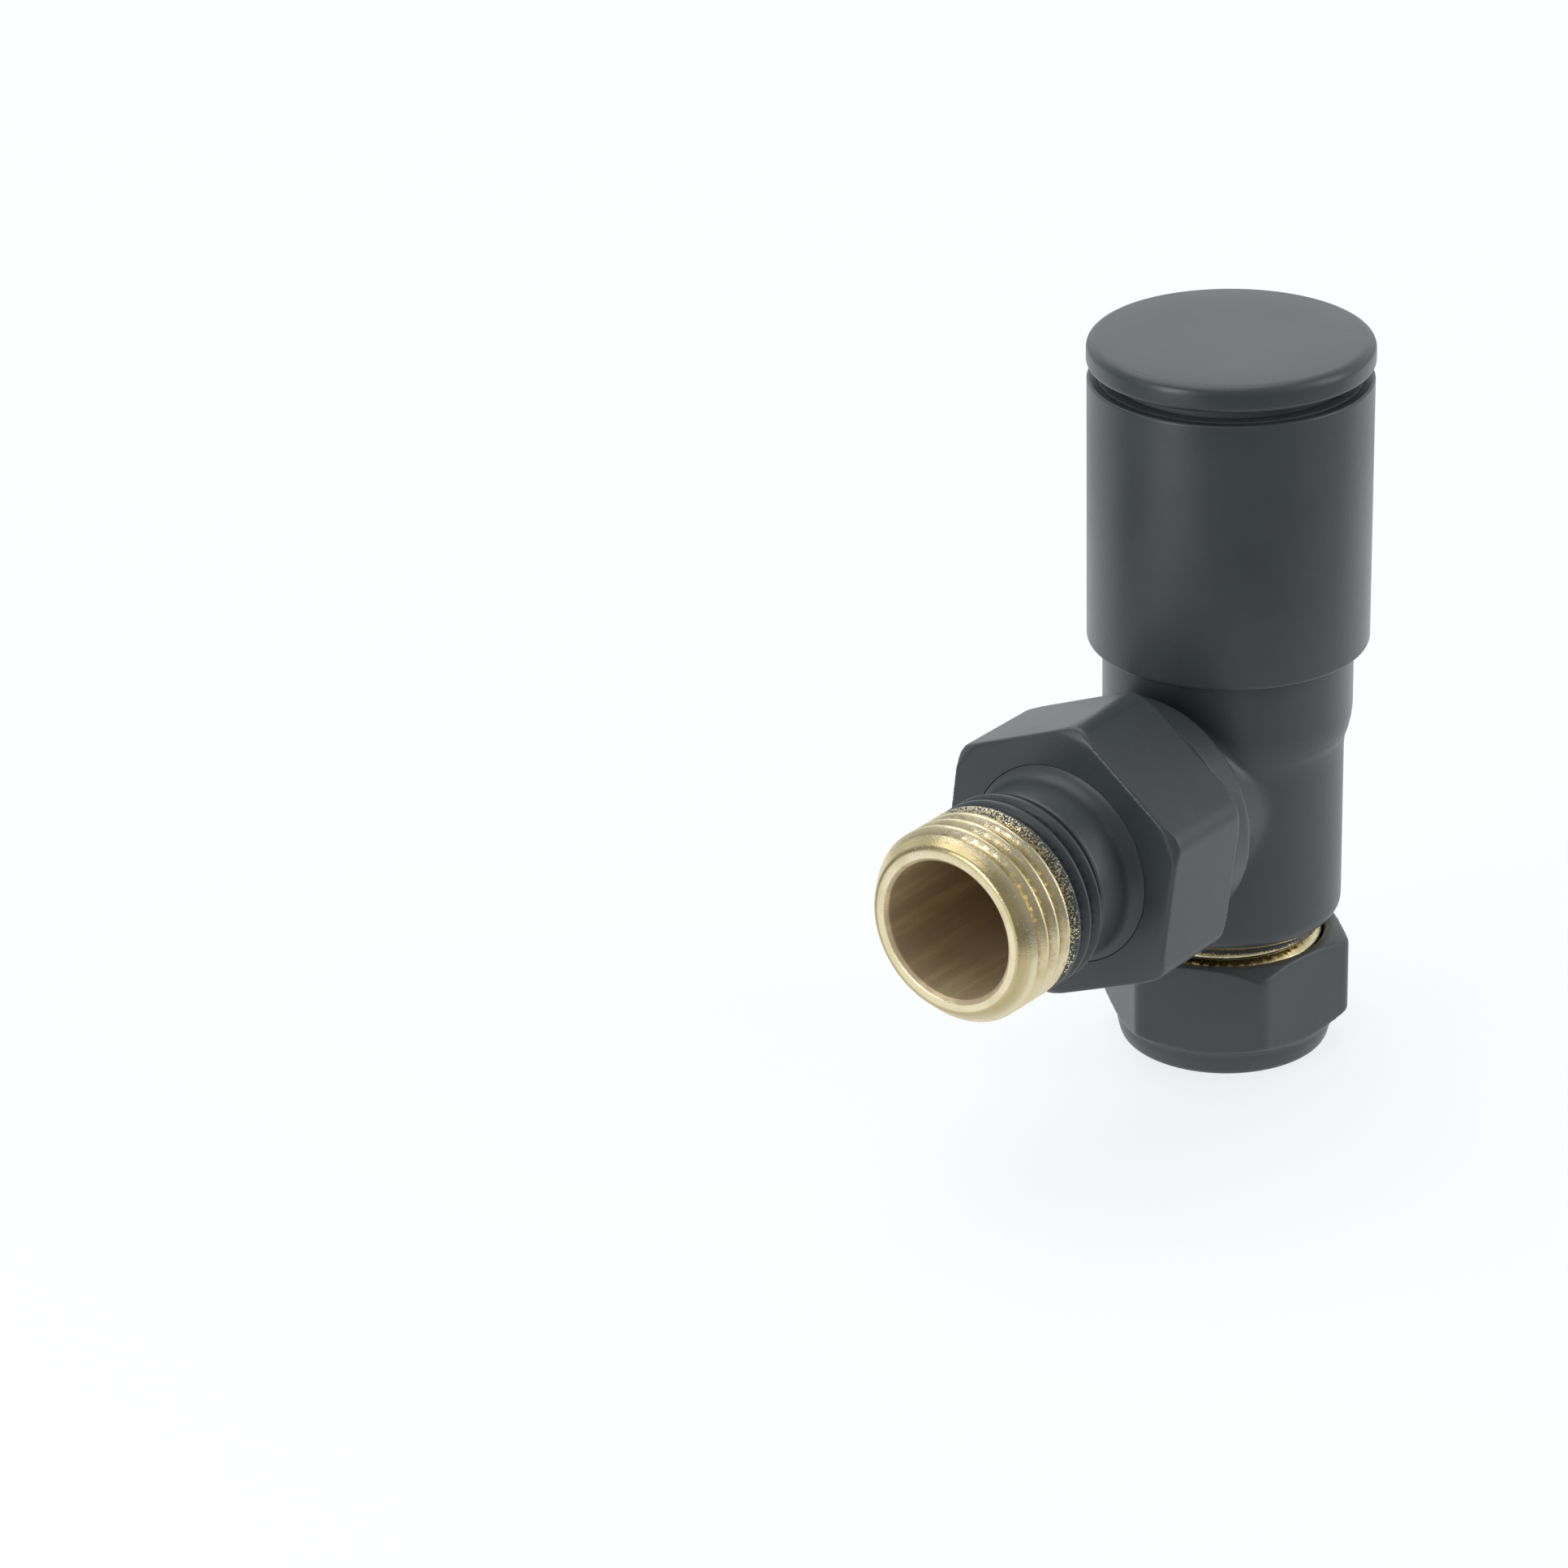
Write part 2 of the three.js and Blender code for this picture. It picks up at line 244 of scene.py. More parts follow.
def along_tail(obj):
    """Lay a shape that was turned about Z along the tail, and lift it to the tail's height."""
    obj.rotation_euler.x = math.pi / 2
    obj.location.z = TAIL_HEIGHT
    return settle(obj)


def finished(obj, name, body, finish, nodes):
    """Bring a piece down to metres, name it and put it on its body."""
    obj.scale = (MM, MM, MM)
    settle(obj)
    obj.name = obj.data.name = name
    obj.data.materials.clear()
    obj.data.materials.append(finish)
    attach(obj, body)
    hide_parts(*nodes)
    return obj


# ---- Material helpers ----
def feed(tree, target, value):
    """Give an input its value, or link it when the value is another node's output."""
    if isinstance(value, bpy.types.NodeSocket):
        tree.links.new(value, target)
    else:
        target.default_value = value


def put(tree, kind, inputs=None, **settings):
    """Add a node. Inputs are numbers, colours, or outputs to link from."""
    node = tree.nodes.new(kind)
    for name, value in settings.items():
        setattr(node, name, value)
    for name, value in (inputs or {}).items():
        feed(tree, node.inputs[name], value)
    return node


def math_node(tree, operation, *values, clamp=False):
    """The result of a sum on values and outputs."""
    node = put(tree, "ShaderNodeMath", dict(enumerate(values)), operation=operation, use_clamp=clamp)
    return node.outputs[0]


def ranged(tree, value, low, high, out_low=0.0, out_high=1.0, smoothed=True):
    """A value's run from low to high, taken over to out_low to out_high and held at both ends."""
    node = put(tree, "ShaderNodeMapRange",
               {"Value": value, "From Min": low, "From Max": high, "To Min": out_low, "To Max": out_high},
               interpolation_type="SMOOTHSTEP" if smoothed else "LINEAR")
    return node.outputs["Result"]


def mixed(tree, factor, a, b, kind="RGBA"):
    """a at factor 0, b at factor 1."""
    node = put(tree, "ShaderNodeMix", data_type=kind)
    first, second, out = {"RGBA": (6, 7, 2), "FLOAT": (2, 3, 0)}[kind]
    for index, value in ((0, factor), (first, a), (second, b)):
        feed(tree, node.inputs[index], value)
    return node.outputs[out]


def noise(tree, vector, scale, detail=2.0, roughness=0.5):
    """A cloudy pattern from 0 to 1."""
    node = put(tree, "ShaderNodeTexNoise",
               {"Vector": vector, "Scale": scale, "Detail": detail, "Roughness": roughness})
    return node.outputs["Fac"]


def vector_node(tree, operation, first, second=None, output="Vector"):
    """The result of a sum on one or two directions or places."""
    inputs = {0: first} if second is None else {0: first, 1: second}
    return put(tree, "ShaderNodeVectorMath", inputs, operation=operation).outputs[output]


def product(tree, first, second):
    return math_node(tree, "MULTIPLY", first, second)


def new_group(name, inputs, outputs):
    """A shared effect's tree, with what it is given and what it gives."""
    tree = bpy.data.node_groups.new(name, "ShaderNodeTree")
    for label, kind, value in inputs:
        socket = tree.interface.new_socket(label, in_out="INPUT", socket_type="NodeSocket" + kind)
        if value is not None:
            socket.default_value = value
    for label, kind in outputs:
        tree.interface.new_socket(label, in_out="OUTPUT", socket_type="NodeSocket" + kind)
    return tree, tree.nodes.new("NodeGroupInput").outputs, tree.nodes.new("NodeGroupOutput").inputs


def use(tree, group, **inputs):
    """The outputs of a shared effect."""
    node = put(tree, "ShaderNodeGroup", node_tree=group)
    for label, value in inputs.items():
        feed(tree, node.inputs[label], value)
    return node.outputs


# ---- Effects that several finishes share ----
def make_grain():
    """The fine skin of a sprayed or moulded surface: height, and slow changes of tone."""
    tree, given, out = new_group("grain", [("Vector", "Vector", None), ("Scale", "Float", 2500.0)],
                                 [("Height", "Float"), ("Tone", "Float")])
    fine = noise(tree, given["Vector"], given["Scale"], 3.0, 0.55)
    broad = noise(tree, given["Vector"], product(tree, given["Scale"], 0.18), 2.0)
    height = math_node(tree, "ADD", product(tree, fine, 0.75), product(tree, broad, 0.6))
    slow = noise(tree, given["Vector"], product(tree, given["Scale"], 0.03), 3.0)
    tree.links.new(height, out["Height"])
    tree.links.new(ranged(tree, slow, 0.3, 0.7), out["Tone"])
    return tree


def make_dust():
    """A thin veil on faces that look up."""
    tree, given, out = new_group("dust", [("Vector", "Vector", None), ("Amount", "Float", 0.05)],
                                 [("Mask", "Float")])
    normal = put(tree, "ShaderNodeSeparateXYZ",
                 {"Vector": put(tree, "ShaderNodeNewGeometry").outputs["Normal"]}).outputs["Z"]
    upward = ranged(tree, normal, 0.2, 1.0)
    specks = ranged(tree, noise(tree, given["Vector"], 4200.0, 5.0, 0.7), 0.45, 0.75)
    veil = math_node(tree, "MULTIPLY", upward, math_node(tree, "ADD", 0.4, specks))
    tree.links.new(math_node(tree, "MULTIPLY", veil, given["Amount"], clamp=True), out["Mask"])
    return tree


def make_tool_marks():
    """Fine rings left by a turning tool. The place comes in squeezed, so that the marks run round."""
    tree, given, out = new_group("tool_marks", [("Vector", "Vector", None), ("Spacing", "Float", 6000.0)],
                                 [("Height", "Float"), ("Tone", "Float")])
    fine = noise(tree, given["Vector"], given["Spacing"], 2.0, 0.6)
    coarse = noise(tree, given["Vector"], product(tree, given["Spacing"], 0.22), 3.0)
    height = math_node(tree, "ADD", product(tree, fine, 0.6), product(tree, coarse, 0.8))
    tree.links.new(height, out["Height"])
    tree.links.new(ranged(tree, coarse, 0.3, 0.7), out["Tone"])
    return tree


def make_tarnish():
    """Blotches and pits of handled brass."""
    tree, given, out = new_group("tarnish", [("Vector", "Vector", None)],
                                 [("Blotch", "Float"), ("Pit", "Float")])
    blotch = noise(tree, given["Vector"], 260.0, 5.0, 0.6)
    pits = noise(tree, given["Vector"], 3400.0, 4.0, 0.65)
    tree.links.new(ranged(tree, blotch, 0.42, 0.68), out["Blotch"])
    tree.links.new(ranged(tree, pits, 0.62, 0.74), out["Pit"])
    return tree


def make_from_axis():
    """Distances of a point from the valve's upright axis and from the tail's axis, in metres."""
    tree, given, out = new_group("from_axis", [("Vector", "Vector", None)],
                                 [("Upright", "Float"), ("Tail", "Float"), ("Along Tail", "Float"),
                                  ("Height", "Float")])
    parts = put(tree, "ShaderNodeSeparateXYZ", {"Vector": given["Vector"]}).outputs
    lowered = math_node(tree, "SUBTRACT", parts["Z"], TAIL_HEIGHT * MM)
    for label, other in (("Upright", parts["Y"]), ("Tail", lowered)):
        across = put(tree, "ShaderNodeCombineXYZ", {"X": parts["X"], "Y": other}).outputs[0]
        length = vector_node(tree, "LENGTH", across, output="Value")
        tree.links.new(length, out[label])
    tree.links.new(product(tree, parts["Y"], -1.0), out["Along Tail"])
    tree.links.new(parts["Z"], out["Height"])
    return tree


GRAIN = make_grain()
DUST = make_dust()
TOOL_MARKS = make_tool_marks()
TARNISH = make_tarnish()
FROM_AXIS = make_from_axis()

PAINT = (0.0355, 0.0425, 0.0480, 1)
PAINT_LIGHT = (0.0440, 0.0520, 0.0580, 1)
DUST_TONE = (0.42, 0.43, 0.43, 1)
BRASS = (0.75, 0.64, 0.40, 1)
BRASS_PALE = (0.84, 0.79, 0.64, 1)
BRASS_DULL = (0.50, 0.42, 0.20, 1)
BRASS_DEEP = (0.20, 0.15, 0.07, 1)
# colour of the painted shade in thread roots
BRASS_ROOT_SHADE = (0.47, 0.38, 0.18, 1)
BRASS_BORE = (0.50, 0.37, 0.24, 1)
BRASS_STREAK = (0.74, 0.60, 0.34, 1)
PAINT_RELIEF = 0.00002  # how deep the grain of a finish is, in metres
BRASS_RELIEF = 0.000018
COAT_RISE = 0.8  # how far the coat stands over bare metal, in the units of the grain
ROOT_SHADE_FROM, ROOT_SHADE_TO = 9.4 * MM, 10.25 * MM  # painted shade in a thread's roots: from the root to just under its crest
BORE_FROM, BORE_TO = 7.75 * MM, 8.0 * MM


def new_material(name):
    """A material with its tree, its shader and the place on the piece."""
    material = bpy.data.materials.new(name)
    material.use_nodes = True
    tree = material.node_tree
    shader = tree.nodes["Principled BSDF"]
    place = put(tree, "ShaderNodeTexCoord").outputs["Object"]
    return material, tree, shader, place


def bump(tree, height, distance):
    """The tilt of a surface that rises and falls with a height pattern."""
    return put(tree, "ShaderNodeBump",
               {"Height": height, "Distance": distance, "Strength": 1.0}).outputs["Normal"]


def paint_nodes(tree, place):
    """Colour, roughness and height of the satin anthracite coat."""
    grain = use(tree, GRAIN, Vector=place, Scale=2600.0)
    dust = use(tree, DUST, Vector=place, Amount=0.035)["Mask"]
    colour = mixed(tree, grain["Tone"], PAINT, PAINT_LIGHT)
    colour = mixed(tree, dust, colour, DUST_TONE)
    rough = ranged(tree, grain["Tone"], 0.0, 1.0, 0.33, 0.39, smoothed=False)
    rough = math_node(tree, "ADD", rough, dust, clamp=True)
    return colour, rough, grain["Height"]


def brass_nodes(tree, place, squeeze):
    """Colour, roughness and height of machined brass. squeeze scales each axis of the tool marks."""
    stretched = put(tree, "ShaderNodeMapping", {"Vector": place, "Scale": squeeze}).outputs["Vector"]
    marks = use(tree, TOOL_MARKS, Vector=stretched, Spacing=9000.0)
    tarnish = use(tree, TARNISH, Vector=place)
    colour = mixed(tree, product(tree, marks["Tone"], 0.5), BRASS, BRASS_PALE)
    colour = mixed(tree, product(tree, tarnish["Blotch"], 0.32), colour, BRASS_DULL)
    colour = mixed(tree, product(tree, tarnish["Pit"], 0.3), colour, BRASS_DEEP)
    rough = ranged(tree, tarnish["Blotch"], 0.0, 1.0, 0.24, 0.36, smoothed=False)
    rough = math_node(tree, "ADD", rough, product(tree, tarnish["Pit"], 0.25), clamp=True)
    grain = use(tree, GRAIN, Vector=place, Scale=5200.0)["Height"]
    height = math_node(tree, "ADD", marks["Height"], product(tree, grain, 1.6))
    height = math_node(tree, "SUBTRACT", height, product(tree, tarnish["Pit"], 1.2))
    return colour, rough, height


def connect(tree, shader, colour, rough, normal, metal):
    """Give the shader its colour, roughness, tilt and metal share."""
    for label, value in (("Base Color", colour), ("Roughness", rough), ("Normal", normal),
                         ("Metallic", metal)):
        feed(tree, shader.inputs[label], value)


def anthracite_paint():
    """The satin coat on pieces that are painted all over."""
    material, tree, shader, place = new_material("anthracite_paint")
    colour, rough, height = paint_nodes(tree, place)
    connect(tree, shader, colour, rough, bump(tree, height, PAINT_RELIEF), 0.0)
    return material


def root_shade_and_aged_bore(axis, along):
    """Painted shade between the crests of a thread about the axis, and a dull, streaked bore inside it."""
    def shaded_and_aged(tree, far, place, metal, rough):
        # painted shade: the brass between the thread's crests is darkened, deepest at the root
        root_shade = product(tree, ranged(tree, far[axis], ROOT_SHADE_FROM, ROOT_SHADE_TO, 0.75, 0.0),
                        ranged(tree, far[axis], 8.6 * MM, 8.8 * MM))
        bore = ranged(tree, far[axis], BORE_FROM, BORE_TO, 1.0, 0.0)
        drawn = put(tree, "ShaderNodeMapping", {"Vector": place, "Scale": along}).outputs["Vector"]
        streaks = ranged(tree, noise(tree, drawn, 420.0, 3.0, 0.6), 0.45, 0.72)
        inside = mixed(tree, streaks, BRASS_BORE, BRASS_STREAK)
        metal = mixed(tree, root_shade, metal, BRASS_ROOT_SHADE)
        metal = mixed(tree, product(tree, bore, 0.8), metal, inside)
        shine = math_node(tree, "SUBTRACT", 1.0, product(tree, bore, 0.6))
        return metal, mixed(tree, bore, rough, 0.45, "FLOAT"), shine
    return shaded_and_aged


def part_painted(name, squeeze, mask_of, shaded_and_aged=None):
    """Paint over brass. mask_of gives the painted share; the last argument paints shade into thread roots and
    changes the bare metal of a bore.
    """
    material, tree, shader, place = new_material(name)
    far = use(tree, FROM_AXIS, Vector=place)
    painted = mask_of(tree, far, place)
    coat, coat_rough, coat_height = paint_nodes(tree, place)
    metal, metal_rough, metal_height = brass_nodes(tree, place, squeeze)
    bare = math_node(tree, "SUBTRACT", 1.0, painted, clamp=True)
    if shaded_and_aged:
        # painted shade in the thread roots, and a dull bore
        metal, metal_rough, shine = shaded_and_aged(tree, far, place, metal, metal_rough)
        bare = math_node(tree, "MULTIPLY", bare, shine)
    height = mixed(tree, painted, metal_height, math_node(tree, "ADD", coat_height, COAT_RISE), "FLOAT")
    connect(tree, shader, mixed(tree, painted, metal, coat),
            mixed(tree, painted, metal_rough, coat_rough, "FLOAT"), bump(tree, height, BRASS_RELIEF), bare)
    return material


def body_paint_mask(tree, far, place):
    """Paint outside, bare metal in the bores. The side bore doesn't reach the back of the barrel."""
    outside = ranged(tree, far["Upright"], 11.95 * MM, 12.0 * MM)
    outside = math_node(tree, "MAXIMUM", outside, ranged(tree, far["Along Tail"], 12.2 * MM, 12.4 * MM))
    off_side_bore = ranged(tree, far["Tail"], 7.7 * MM, 7.9 * MM)
    back = ranged(tree, far["Along Tail"], -0.2 * MM, 0.0, 1.0, 0.0)
    clear = math_node(tree, "MAXIMUM", off_side_bore, back)
    under = ranged(tree, far["Height"], 14.6 * MM, 14.8 * MM)
    return math_node(tree, "MULTIPLY", product(tree, outside, clear), under, clamp=True)


def tail_paint_mask(tree, far, place):
    """Paint on the neck and the first turns of the thread, ending in a speckled edge."""
    fine = math_node(tree, "SUBTRACT", noise(tree, place, 5200.0, 3.0, 0.6), 0.5)
    broad = math_node(tree, "SUBTRACT", noise(tree, place, 700.0, 2.0), 0.5)
    ragged = math_node(tree, "ADD", product(tree, fine, 7.0 * MM), product(tree, broad, 1.6 * MM))
    edge = math_node(tree, "ADD", far["Along Tail"], ragged)
    painted = ranged(tree, edge, 42.2 * MM, 42.5 * MM, 1.0, 0.0)
    solid = ranged(tree, far["Along Tail"], 41.2 * MM, 41.5 * MM, 1.0, 0.0)
    bare = ranged(tree, far["Along Tail"], 43.3 * MM, 43.6 * MM, 1.0, 0.0)
    painted = product(tree, math_node(tree, "MAXIMUM", painted, solid), bare)
    outside = ranged(tree, far["Tail"], 8.2 * MM, 8.5 * MM)
    return math_node(tree, "MULTIPLY", painted, outside, clamp=True)


def pipe_thread_mask(tree, far, place):
    """Overspray on the turns just under the body."""
    speckle = math_node(tree, "SUBTRACT", noise(tree, place, 4200.0, 3.0), 0.5)
    ragged = product(tree, speckle, 0.5 * MM)
    edge = math_node(tree, "ADD", far["Height"], ragged)
    return math_node(tree, "MULTIPLY", ranged(tree, edge, 14.0 * MM, 14.15 * MM),
                     ranged(tree, far["Upright"], 8.5 * MM, 8.8 * MM), clamp=True)


def bare_brass(name, squeeze):
    """Machined brass all over."""
    material, tree, shader, place = new_material(name)
    colour, rough, height = brass_nodes(tree, place, squeeze)
    connect(tree, shader, colour, rough, bump(tree, height, BRASS_RELIEF), 1.0)
    return material


def plain_finish(name, colour, light, rough_low, rough_high, scale, depth, metal=0.0):
    """A quiet moulded, drawn or pressed surface: grain, slow tone and a changing roughness."""
    material, tree, shader, place = new_material(name)
    grain = use(tree, GRAIN, Vector=place, Scale=scale)
    dust = use(tree, DUST, Vector=place, Amount=0.03)["Mask"]
    tone = mixed(tree, dust, mixed(tree, grain["Tone"], colour, light), DUST_TONE)
    rough = ranged(tree, grain["Tone"], 0.0, 1.0, rough_low, rough_high, smoothed=False)
    connect(tree, shader, tone, rough, bump(tree, grain["Height"], depth), metal)
    return material


AROUND_UPRIGHT = (0.02, 0.02, 1.0)
AROUND_TAIL = (0.02, 1.0, 0.02)
PAINTED = anthracite_paint()
BODY_FINISH = part_painted("painted_body", AROUND_UPRIGHT, body_paint_mask)
TAIL_FINISH = part_painted("part_painted_tail", AROUND_TAIL, tail_paint_mask,
                           root_shade_and_aged_bore("Tail", (1.0, 0.06, 1.0)))
PIPE_THREAD_FINISH = part_painted("part_painted_thread", AROUND_UPRIGHT, pipe_thread_mask,
                                  root_shade_and_aged_bore("Upright", (1.0, 1.0, 0.06)))
OUTLET_BRASS = bare_brass("outlet_brass", AROUND_TAIL)
TURNED_BRASS = bare_brass("turned_brass", AROUND_UPRIGHT)
SPRING_STEEL = plain_finish("spring_steel", (0.52, 0.53, 0.54, 1), (0.66, 0.66, 0.67, 1),
                            0.24, 0.38, 5200.0, 0.00001, 1.0)
SEAL_RUBBER = plain_finish("seal_rubber", (0.010, 0.010, 0.011, 1), (0.020, 0.020, 0.021, 1),
                           0.55, 0.75, 3400.0, 0.00003)
RED_FIBRE = plain_finish("red_fibre", (0.16, 0.028, 0.018, 1), (0.25, 0.060, 0.035, 1),
                         0.75, 0.92, 2400.0, 0.00006)
MOULDED_PLASTIC = plain_finish("moulded_plastic", (0.085, 0.094, 0.100, 1), (0.105, 0.114, 0.120, 1),
                               0.42, 0.56, 1900.0, 0.00002)

# ---- Top cap, its plug, and the shield ----
CAP_EDGE, CAP_TOP = 77.56, 80.4
cap = turned([(0, 78.7), (13.2, 78.7), (13.2, CAP_EDGE), (15, CAP_EDGE, 0.6), (15, CAP_TOP, 1.1),
              (9.0, CAP_TOP, 1.0), (0, CAP_TOP - 0.03)])
finished(smooth(cap), "cap_disc", "cap", PAINTED, ["top_cap"])

plug = turned([(0, 77.4), (10.9, 77.4, 0.3), (10.9, 70, 0.3), (12.4, 70, 0.4), (12.4, 71.6, 0.1),
               (11.6, 71.6, 0.15), (11.6, 73, 0.15), (12.4, 73, 0.1), (12.4, 77.8), (12.9, 77.8),
               (12.9, 78.4), (0, 78.4)])
for turn in range(4):
    slit = block((28, 1.1, 5.4), (0, 0, 72.2), 45 * turn + 22.5)
    combine(plug, soft_edges(slit, 0.3))
finished(smooth(plug), "cap_plug_skirt", "cap", MOULDED_PLASTIC, ["cap_plug"])

sleeve = turned([(13.6, 47.2, 0.1), (14.3, 46.8, 0.2), (14.93, 46.8, 0.5), (14.93, 76.2, 0.28),
                 (13.9, 76.2, 0.12), (13.9, 74.9), (14.3, 74.9), (14.3, 73.1), (13.9, 73.1), (13.9, 49),
                 (13.6, 48.4)])
finished(smooth(sleeve), "sleeve_shell", "sleeve", PAINTED, ["shield_sleeve"])

insert = turned([(12, 50.8, 0.2), (13.55, 50.8, 0.3), (13.55, 73.3), (12.95, 73.3), (12.95, 74.7),
                 (13.55, 74.7), (13.55, 75.3), (13.84, 75.5), (13.84, 76.2, 0.1), (12.55, 76.2, 0.15),
                 (12.55, 75.6), (12.7, 75.4), (12.7, 68.4, 0.2), (12, 66.9, 0.2), (12, 58.7, 0.5),
                 (8.8, 58.7, 0.15), (8.8, 56.9, 0.15), (12, 56.9, 0.5)])
finished(smooth(insert), "shield_tube", "insert", MOULDED_PLASTIC, ["shield_insert"])


def ring_of_wire(radius, thickness, height):
    """A round section turned about Z."""
    section = []
    for step in range(WIRE_SIDES):
        angle = FULL_TURN * step / WIRE_SIDES
        section.append((radius + thickness * math.cos(angle), height + thickness * math.sin(angle)))
    return turned(section, PLAIN)


def simple(corners, name, body, finish, node, steps=PLAIN):
    """A small turned piece that needs no further work."""
    return finished(smooth(turned(corners, steps)), name, body, finish, [node])


simple([(13.1, 73.6, 0.15), (14.1, 73.6, 0.15), (14.1, 74.4, 0.15), (13.1, 74.4, 0.15)],
       "sleeve_spring_ring", "insert", SPRING_STEEL, "sleeve_ring", FINE)
for name, node, body, radius, thickness, height in (
        ("cap_o_ring", "cap_ring", "cap", 12.12, 0.45, 72.3),
        ("grip_o_ring", "shield_grip_ring", "valve", 8.05, 0.55, 57.8),
        ("bonnet_o_ring", "bonnet_seal", "valve", 11.15, 0.55, 49.1),
        ("lower_packing_ring", "packing_ring_lower", "valve", 4.55, 0.9, 56.9),
        ("upper_packing_ring", "packing_ring_upper", "valve", 4.55, 0.9, 59.0)):
    finished(smooth(ring_of_wire(radius, thickness, height), 60), name, body, SEAL_RUBBER, [node])

# ---- Headwork ----
stem = turned([(0, 43), (9.8, 43), (10.2, 43.4), (10.2, 50.4), (8.8, 50.4), (8.4, 54.9), (8.4, 57, 0.1),
               (7.4, 57, 0.1), (7.4, 58.6, 0.1), (8.4, 58.6, 0.1), (8.4, 62), (7.9, 62.5), (0, 62.5)], PLAIN)
bonnet = combine(hexagon(20, 50.3, 55), stem, "UNION")
combine(bonnet, turned([(0, 42), (6.2, 42), (6.2, 45.1), (4.3, 45.7), (4.3, 53.8), (3.7, 53.8), (3.7, 54.6),
                        (5.7, 54.6), (5.7, 63), (0, 63)], PLAIN))
finished(smooth(bonnet), "bonnet_turned", "valve", TURNED_BRASS, ["bonnet"])

simple([(3.7, 54.9, 0.1), (5.4, 54.9, 0.1), (5.4, 55.7, 0.1), (3.7, 55.7, 0.1)],
       "gland_disc", "valve", TURNED_BRASS, "gland_washer")

gland = combine(hexagon(14, 62.8, 65.8), turned([(0, 60.2), (5.4, 60.2), (5.4, 62.9), (0, 62.9)], PLAIN),
                "UNION")
combine(gland, turned([(0, 60), (3.7, 60), (3.7, 65.5), (4.1, 65.9), (4.1, 66), (0, 66)], PLAIN))
finished(smooth(gland), "gland_nut_turned", "valve", TURNED_BRASS, ["gland_nut"])

shaft = turned([(0, 36.3), (3.6, 36.3, 0.15), (3.6, 37.8, 0.15), (2.5, 37.8), (2.5, 43), (3.3, 43.2),
                (3.4, 48.6), (3.4, 66.3, 0.1), (0, 66.3)], PLAIN)
square_end = soft_edges(block((4.8, 4.8, 4.2), (0, 0, 68.1)), 0.35)
combine(shaft, square_end, "UNION")
finished(smooth(shaft), "spindle_turned", "spindle", TURNED_BRASS, ["spindle"])

# ---- Closing member ----
closer = turned([(0, 25.6), (8.2, 25.6, 0.3), (8.2, 28.6, 0.7), (5.4, 29.4, 0.7), (5.4, 39.8, 0.2),
                 (0, 39.8)], PLAIN)
spindle_pocket = turned([(0, 36), (4, 36), (4, 37.9), (4.8, 37.9), (4.8, 39.1), (4, 39.1), (4, 40),
                         (0, 40)], PLAIN)
combine(closer, spindle_pocket)
screw_hole = turned([(0, 25), (2.3, 25), (2.3, 32), (0, 33.3)], PLAIN)
combine(closer, screw_hole)
finished(smooth(closer), "closing_plug", "plug", TURNED_BRASS, ["valve_plug"])

clip = turned([(2.8, 38.15, 0.1), (4.5, 38.15, 0.1), (4.5, 38.85, 0.1), (2.8, 38.85, 0.1)], PLAIN)
combine(clip, block((4, 2.4, 3), (4, 0, 38.5)))
finished(smooth(clip), "open_spring_clip", "plug", SPRING_STEEL, ["spindle_circlip"])

simple([(2.6, 23.8, 0.1), (7.6, 23.8, 0.3), (7.6, 25.3, 0.3), (2.6, 25.3, 0.1)],
       "seat_disc", "plug", SEAL_RUBBER, "seat_washer")
simple([(2.3, 22.7, 0.1), (4.9, 22.7, 0.2), (4.9, 23.5, 0.2), (2.3, 23.5, 0.1)],
       "seat_plate", "plug", TURNED_BRASS, "washer_plate")

screw = turned([(0, 20.9), (3.6, 20.9, 0.2), (4, 21.3), (4, 22.4), (2, 22.4), (2, 31.6), (0, 32.4)], PLAIN)
combine(screw, block((9, 1, 1.6), (0, 0, 20.9)))
finished(smooth(screw), "slotted_screw", "plug", TURNED_BRASS, ["plug_screw"])

# ---- Body: barrel and outlet in one casting, with a soft blend between them ----
barrel = turned([(0, 9), (PIPE_ROOT, 9), (PIPE_ROOT, 14.6), (10.2, 15), (BARREL_RADIUS, 15, 1.9),
                 (BARREL_RADIUS, 36.1, 1.4), (13.27, 37.9, 1.4), (13.27, 50, 0.5), (0, 50)])
boss = along_tail(turned([(0, 0), (BOSS_RADIUS, 0), (BOSS_RADIUS, 14.2), (12.9, 14.2, 0.5), (12.9, 17.9, 0.4),
                          (OUTLET_ROOT, 17.9), (OUTLET_ROOT, 20), (0, 20)]))
body = combine(barrel, boss, "UNION")
apply_modifier(body, "REMESH", mode="VOXEL", voxel_size=VOXEL, use_smooth_shade=True)

BLEND_REACH = 4.0
blend = body.vertex_groups.new(name="blend")
for vertex in body.data.vertices:
    x, y, z = vertex.co
    from_barrel = abs(math.hypot(x, y) - BARREL_RADIUS)
    from_boss = abs(math.hypot(x, z - TAIL_HEIGHT) - BOSS_RADIUS)
    if -14 < y < 0:
        blend.add([vertex.index], max(0.0, 1 - (from_barrel + from_boss) / BLEND_REACH), "REPLACE")
apply_modifier(body, "SMOOTH", factor=0.5, iterations=60, vertex_group="blend")
apply_modifier(body, "SMOOTH", factor=0.5, iterations=3)
body.vertex_groups.clear()

